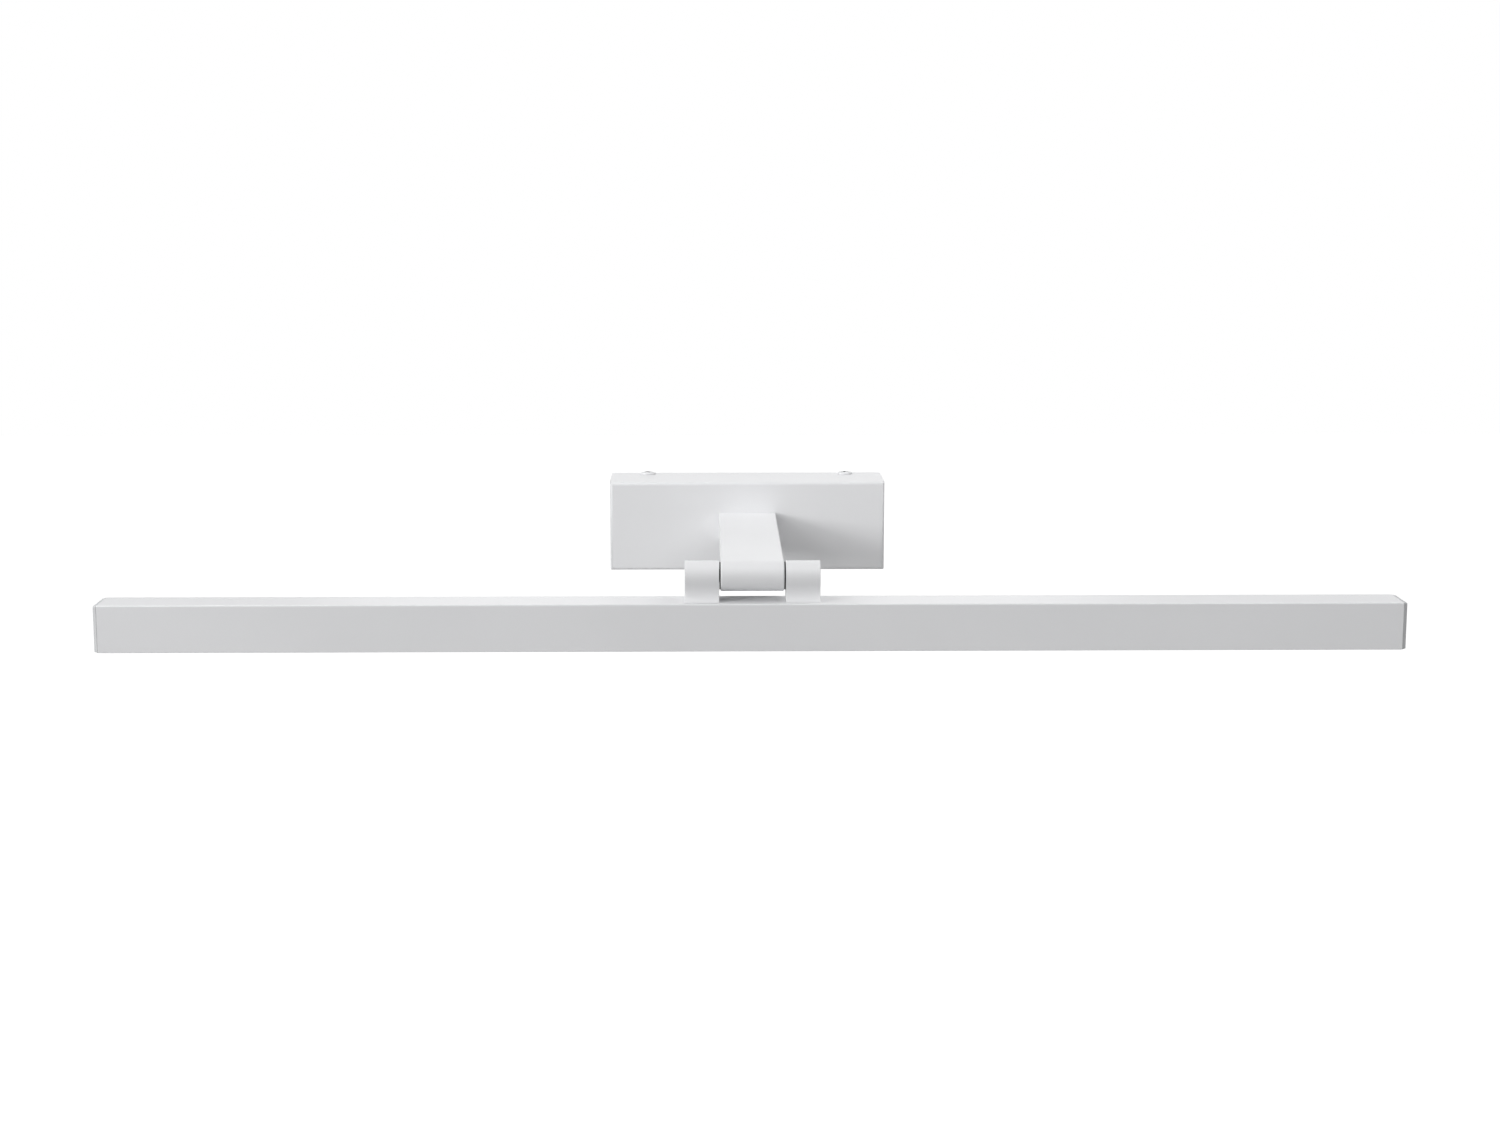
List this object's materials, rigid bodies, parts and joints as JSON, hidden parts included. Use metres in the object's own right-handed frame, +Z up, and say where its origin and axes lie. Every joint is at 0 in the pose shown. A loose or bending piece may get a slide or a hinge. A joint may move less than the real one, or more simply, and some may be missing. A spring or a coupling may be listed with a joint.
{
  "type": "picture light",
  "caption": "Slim square LED bar that tilts on a flat arm, carried by a small rectangular wall box.",
  "frame": {"origin": "centre of the wall bracket's back face, on the wall", "axes": "+X along the bar to its right-hand end, +Y into the wall, +Z up"},
  "size_m": [0.6, 0.199, 0.0577],
  "materials": {
    "white_coat": "white powder coat on folded steel sheet, fine satin texture",
    "white_coated_aluminium": "white powder coat over aluminium, the same fine satin texture as the sheet",
    "white_plastic": "white moulded plastic, lightly textured",
    "opal_diffuser": "opal white, satin, translucent",
    "zinc_plate": "zinc plated steel sheet, faintly mottled",
    "bright_steel": "bright plated steel",
    "brass": "plain brass",
    "black_nylon": "black nylon",
    "black_rubber": "black rubber",
    "white_solder_mask": "white solder mask on an aluminium board, with yellow emitters",
    "green_board": "green solder mask on a glass fibre board",
    "lead_white": "white flexible lead",
    "lead_brown": "brown insulation",
    "lead_blue": "blue insulation",
    "lead_earth": "green and yellow striped insulation"
  },
  "bodies": {
    "wall_mount": {"wall_bracket": "zinc_plate", "cover": "white_coat", "cover_screw_top_left": "white_coat", "cover_screw_top_right": "white_coat", "cover_screw_bottom_left": "white_coat", "cover_screw_bottom_right": "white_coat", "cable_grommet": "black_rubber", "terminal_block": "white_plastic", "terminal_screw_1": "brass", "terminal_screw_2": "brass", "terminal_screw_3": "brass", "terminal_screw_4": "brass", "terminal_screw_5": "brass", "terminal_screw_6": "brass", "terminal_mount_screw": "bright_steel", "driver_case": "white_plastic", "driver_lid": "white_plastic", "driver_board": "green_board", "driver_screw_left": "bright_steel", "driver_screw_right": "bright_steel", "live_lead": "lead_brown", "neutral_lead": "lead_blue", "earth_lead": "lead_earth", "earth_tag": "brass", "earth_screw": "brass", "arm_backing_plate": "zinc_plate", "arm_screw_left": "bright_steel", "arm_screw_right": "bright_steel", "arm": "white_coated_aluminium", "arm_bottom_plate": "white_coated_aluminium", "arm_plate_screw_rear": "bright_steel", "arm_plate_screw_front": "bright_steel", "hinge_bush_left": "black_nylon", "hinge_bush_right": "black_nylon", "arm_lead": "lead_white"},
    "lamp_head": {"knuckle_left": "white_coated_aluminium", "knuckle_right": "white_coated_aluminium", "hinge_grub_screw_left": "bright_steel", "hinge_grub_screw_right": "bright_steel", "hinge_pin_left": "bright_steel", "hinge_pin_right": "bright_steel", "knuckle_screw_left_inner": "bright_steel", "knuckle_screw_left_outer": "bright_steel", "knuckle_screw_right_inner": "bright_steel", "knuckle_screw_right_outer": "bright_steel", "bar_housing": "white_coated_aluminium", "end_cap_left": "white_plastic", "end_cap_right": "white_plastic", "led_board_left": "white_solder_mask", "led_board_right": "white_solder_mask", "led_board_screw_left_inner": "bright_steel", "led_board_screw_left_outer": "bright_steel", "led_board_screw_right_inner": "bright_steel", "led_board_screw_right_outer": "bright_steel", "board_connector": "white_plastic", "diffuser": "opal_diffuser", "head_lead": "lead_white"}
  },
  "joints": [
    {"name": "head_tilt", "type": "hinge", "parent": "wall_mount", "child": "lamp_head", "pos_m": [0, -0.188, 0], "axis": [1, 0, 0], "range_deg": [-198, 18]}
  ]
}
